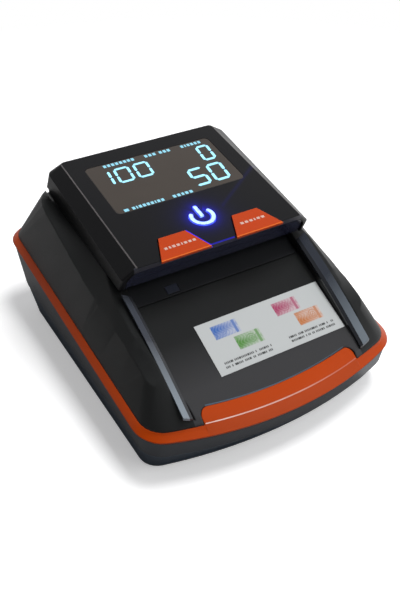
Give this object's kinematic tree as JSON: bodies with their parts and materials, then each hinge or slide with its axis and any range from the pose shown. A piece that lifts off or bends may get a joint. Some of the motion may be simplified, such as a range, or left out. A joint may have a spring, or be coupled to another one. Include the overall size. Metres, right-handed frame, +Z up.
{
  "type": "counterfeit banknote detector",
  "caption": "Counter-top banknote checker: sloping note tray, guide strips, lift-up head with display and keys over a motorised roller transport.",
  "frame": {"origin": "middle of the box round the whole machine, on the surface it stands on", "axes": "+X to the right as seen from the front, -Y toward the user (front), +Z up"},
  "size_m": [0.1306, 0.167, 0.0843],
  "materials": {
    "base_plastic": "fine satin texture",
    "belt": "matt",
    "board": "solder mask",
    "bronze": "sintered",
    "component_black": "moulded packages",
    "cover_plastic": "fine satin texture",
    "display": "lit segments",
    "head_plastic": "smooth satin",
    "inner_plastic": "matt",
    "key_orange": "smooth satin",
    "lamp": "clear tinted",
    "light_pipe": "lit from behind",
    "magnet": "nickel plated",
    "motor_can": "drawn can",
    "navy_panel": "glossy",
    "orange_plastic": "smooth satin",
    "roller_rubber": "ground",
    "rubber": "matt",
    "sensor_black": "glossy infrared window",
    "socket_metal": "tin plated",
    "steel": "zinc plated",
    "sticker": "laminated print",
    "strip": "satin blue-grey film",
    "window": "smoked"
  },
  "bodies": {
    "body": {"base_shell": "base_plastic", "rubber_feet": "rubber", "base_screws": "steel", "trim_band": "orange_plastic", "upper_cover": "cover_plastic", "guide_strip_left": "strip", "guide_strip_right": "strip", "tray_sticker": "sticker", "lower_guide": "inner_plastic", "sensor_bar_lower": "sensor_black", "entry_sensor": "component_black", "shaft_bushes": "bronze", "drive_belt": "belt", "motor": "motor_can", "motor_bracket": "steel", "main_board": "board", "board_parts": "component_black", "power_socket": "component_black", "update_socket": "socket_metal", "magnetic_sensor": "steel", "uv_lamp": "lamp", "keeper_plate": "steel"},
    "front_drive": {"drive_shaft_front": "steel", "drive_rollers_front": "roller_rubber", "pulley_front": "inner_plastic", "encoder_disc": "component_black"},
    "rear_drive": {"drive_shaft_rear": "steel", "drive_rollers_rear": "roller_rubber", "pulley_rear": "inner_plastic"},
    "motor_rotor": {"motor_shaft": "steel", "motor_pulley": "inner_plastic"},
    "head": {"head_shell": "head_plastic", "head_front_panel": "navy_panel", "display_window": "window", "display_module": "display", "display_board": "board", "key_switches": "component_black", "upper_guide": "inner_plastic", "sensor_bar_upper": "sensor_black", "pinch_springs": "steel", "hinge_pins": "steel", "head_screws": "steel", "latch_magnet": "magnet"},
    "key_left": {"key_left": "key_orange"},
    "key_right": {"key_right": "key_orange"},
    "power_key": {"power_key": "light_pipe"},
    "pinch_front": {"pinch_shaft_front": "steel", "pinch_rollers_front": "roller_rubber"},
    "pinch_rear": {"pinch_shaft_rear": "steel", "pinch_rollers_rear": "roller_rubber"}
  },
  "joints": [
    {"name": "head_hinge", "type": "hinge", "parent": "body", "child": "head", "pos_m": [0, 0.054, 0.07236], "axis": [-1, 0, 0], "range_deg": [0, 35]},
    {"name": "key_left_press", "type": "slide", "parent": "head", "child": "key_left", "axis": [0, 0.1513, -0.9885], "range_m": [0, 0.0005], "stiffness_N_per_m": 600, "springref_m": -0.0003},
    {"name": "key_right_press", "type": "slide", "parent": "head", "child": "key_right", "axis": [0, 0.1513, -0.9885], "range_m": [0, 0.0005], "stiffness_N_per_m": 600, "springref_m": -0.0003},
    {"name": "power_key_press", "type": "slide", "parent": "head", "child": "power_key", "axis": [0, 0.1513, -0.9885], "range_m": [0, 0.0005], "stiffness_N_per_m": 600, "springref_m": -0.0003},
    {"name": "front_drive_spin", "type": "hinge", "parent": "body", "child": "front_drive", "pos_m": [0, 0.0057, 0.04942], "axis": [1, 0, 0], "continuous": true},
    {"name": "rear_drive_spin", "type": "hinge", "parent": "body", "child": "rear_drive", "pos_m": [0, 0.0477, 0.05468], "axis": [1, 0, 0], "continuous": true},
    {"name": "motor_spin", "type": "hinge", "parent": "body", "child": "motor_rotor", "pos_m": [0, 0.0237, 0.026], "axis": [1, 0, 0], "continuous": true},
    {"name": "pinch_front_spin", "type": "hinge", "parent": "head", "child": "pinch_front", "pos_m": [0, 0.0057, 0.06327], "axis": [1, 0, 0], "continuous": true},
    {"name": "pinch_rear_spin", "type": "hinge", "parent": "head", "child": "pinch_rear", "pos_m": [0, 0.0477, 0.06853], "axis": [1, 0, 0], "continuous": true}
  ],
  "couplings": [
    {"joint": "rear_drive_spin", "follows": "front_drive_spin", "ratio": 1},
    {"joint": "motor_spin", "follows": "front_drive_spin", "ratio": 1},
    {"joint": "pinch_front_spin", "follows": "front_drive_spin", "ratio": -2.8571},
    {"joint": "pinch_rear_spin", "follows": "front_drive_spin", "ratio": -2.8571}
  ]
}
